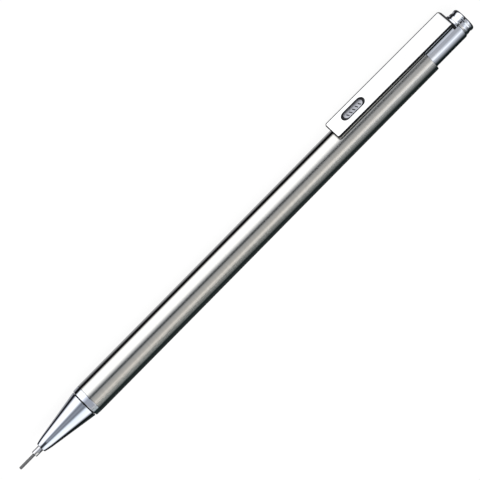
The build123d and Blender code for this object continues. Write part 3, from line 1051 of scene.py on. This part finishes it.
AHEAD_OF_THE_TIP = [
    (-180, 0.01, 0.01, 0.01),
    (-112, 0.01, 0.01, 0.01),
    (-75, 0.01, 0.01, 0.02),
    (-70, 0.20, 0.21, 0.23),
    (-60, 1.10, 1.10, 1.12),
    (-50, 1.45, 1.45, 1.45),
    (-4, 1.40, 1.40, 1.40),
    (4, 0.72, 0.75, 0.80),
    (12, 0.26, 0.28, 0.32),
    (22, 0.27, 0.29, 0.33),
    (32, 0.36, 0.39, 0.44),
    (42, 0.26, 0.28, 0.32),
    (50, 0.24, 0.26, 0.30),
    (58, 0.60, 0.65, 0.71),
    (66, 1.10, 1.18, 1.23),
    (76, 1.28, 1.32, 1.34),
    (110, 1.36, 1.36, 1.37),
    (118, 0.95, 0.96, 0.98),
    (128, 0.24, 0.26, 0.28),
    (136, 0.00, 0.00, 0.00),
    (168, 0.00, 0.00, 0.00),
    (180, 0.01, 0.01, 0.01),
]


def make_studio():
    """Polished metal sees the studio's panels; everything else is lit by a soft white dome."""
    world = bpy.data.worlds.new("studio")
    world.use_nodes = True
    bpy.context.scene.world = world
    tree = world.node_tree
    tree.nodes.clear()

    def add(kind, **settings):
        node = tree.nodes.new(kind)
        for key, value in settings.items():
            setattr(node, key, value)
        return node

    def maths(operation, a, b=None):
        node = add("ShaderNodeMath", operation=operation)
        for socket, value in zip(node.inputs, (a, b)):
            if isinstance(value, bpy.types.NodeSocket):
                tree.links.new(value, socket)
            elif value is not None:
                socket.default_value = value
        return node.outputs[0]

    def panels(stops):
        """Panels round the pencil, from stops of (degrees, red, green, blue)."""
        node = add("ShaderNodeValToRGB")
        ramp = node.color_ramp
        while len(ramp.elements) < len(stops):
            ramp.elements.new(0.5)
        for element, (degrees, *colour) in zip(ramp.elements, stops):
            element.position = (degrees + 180) / 360
            element.color = (*colour, 1)
        tree.links.new(angle, node.inputs["Fac"])
        return node.outputs["Color"]

    def window(value, low, high):
        """0 at low, rising softly to 1 at high; low may be the greater of the two."""
        node = add("ShaderNodeMapRange", interpolation_type="SMOOTHSTEP")
        node.inputs["From Min"].default_value = low
        node.inputs["From Max"].default_value = high
        tree.links.new(value, node.inputs["Value"])
        return node.outputs["Result"]

    direction = add("ShaderNodeSeparateXYZ")
    tree.links.new(add("ShaderNodeTexCoord").outputs["Generated"], direction.inputs[0])
    level = maths("MULTIPLY", direction.outputs["Y"], -1.0)
    turn = maths("ARCTAN2", direction.outputs["Z"], level)
    angle = maths("MULTIPLY_ADD", turn, 0.5 / math.pi)
    angle.node.inputs[2].default_value = 0.5
    across = direction.outputs["X"]

    def between(value, low, high, soft):
        """1 from low to high, falling to 0 over soft on both sides."""
        return maths("MULTIPLY", window(value, low - soft, low), window(value, high + soft, high))

    def over(below, stops, share):
        """These panels laid over the ones below, for a share of them."""
        node = add("ShaderNodeMix", data_type="RGBA")
        tree.links.new(share, node.inputs[0])
        tree.links.new(below, node.inputs[6])
        tree.links.new(panels(stops), node.inputs[7])
        return node.outputs[2]

    seen = over(panels(ROUND_THE_BARREL), BEHIND_THE_BUTTON, window(across, -0.068, -0.077))
    seen = over(seen, BESIDE_THE_BAND, between(across, 0.102, 0.130, 0.004))
    seen = over(seen, AHEAD_OF_THE_TIP, window(across, 0.16, 0.26))

    def scaled(strength, share, factor):
        """The strength, times the factor where share is 1."""
        change = maths("MULTIPLY_ADD", share, factor - 1.0)
        change.node.inputs[2].default_value = 1.0
        return maths("MULTIPLY", strength, change)

    # Past the ends of the panels the room is dark, as is the strip that holds the camera.
    strength = maths("MULTIPLY", window(across, -0.98, -0.85), window(across, 0.70, 0.48))
    camera_strip = between(turn, 0.40, 0.64, 0.08)
    strength = scaled(strength, maths("MULTIPLY", camera_strip, window(across, -0.095, -0.12)), 0.03)
    nose_strip = between(turn, 0.20, 0.90, 0.08)
    strength = scaled(strength, maths("MULTIPLY", nose_strip, window(across, 0.42, 0.48)), 0.2)
    # A lamp over the rear half, and a card over the tip.
    lamp = maths("MULTIPLY", window(turn, 1.05, 1.30), window(turn, 1.70, 1.50))
    strength = scaled(strength, maths("MULTIPLY", lamp, window(across, -0.03, -0.075)), 2.15)
    card = maths("MULTIPLY", between(turn, 1.60, 2.15, 0.10), between(across, 0.078, 0.097, 0.003))
    strength = scaled(strength, card, 5.0)
    studio = add("ShaderNodeBackground")
    tree.links.new(seen, studio.inputs["Color"])
    tree.links.new(strength, studio.inputs["Strength"])
    dome = add("ShaderNodeBackground")
    dome.inputs["Color"].default_value = (1.0, 0.99, 0.97, 1)
    dome.inputs["Strength"].default_value = 0.9
    blank = add("ShaderNodeBackground")
    blank.inputs["Color"].default_value = (1, 1, 1, 1)
    blank.inputs["Strength"].default_value = 1.02

    path = add("ShaderNodeLightPath")
    lit = add("ShaderNodeMixShader")
    tree.links.new(path.outputs["Is Diffuse Ray"], lit.inputs[0])
    tree.links.new(studio.outputs[0], lit.inputs[1])
    tree.links.new(dome.outputs[0], lit.inputs[2])
    out = add("ShaderNodeMixShader")
    tree.links.new(path.outputs["Is Camera Ray"], out.inputs[0])
    tree.links.new(lit.outputs[0], out.inputs[1])
    tree.links.new(blank.outputs[0], out.inputs[2])
    tree.links.new(out.outputs[0], add("ShaderNodeOutputWorld").inputs["Surface"])


make_camera()
make_floor()
make_studio()
bpy.context.scene.view_settings.view_transform = "Standard"

bpy.context.view_layer.update()
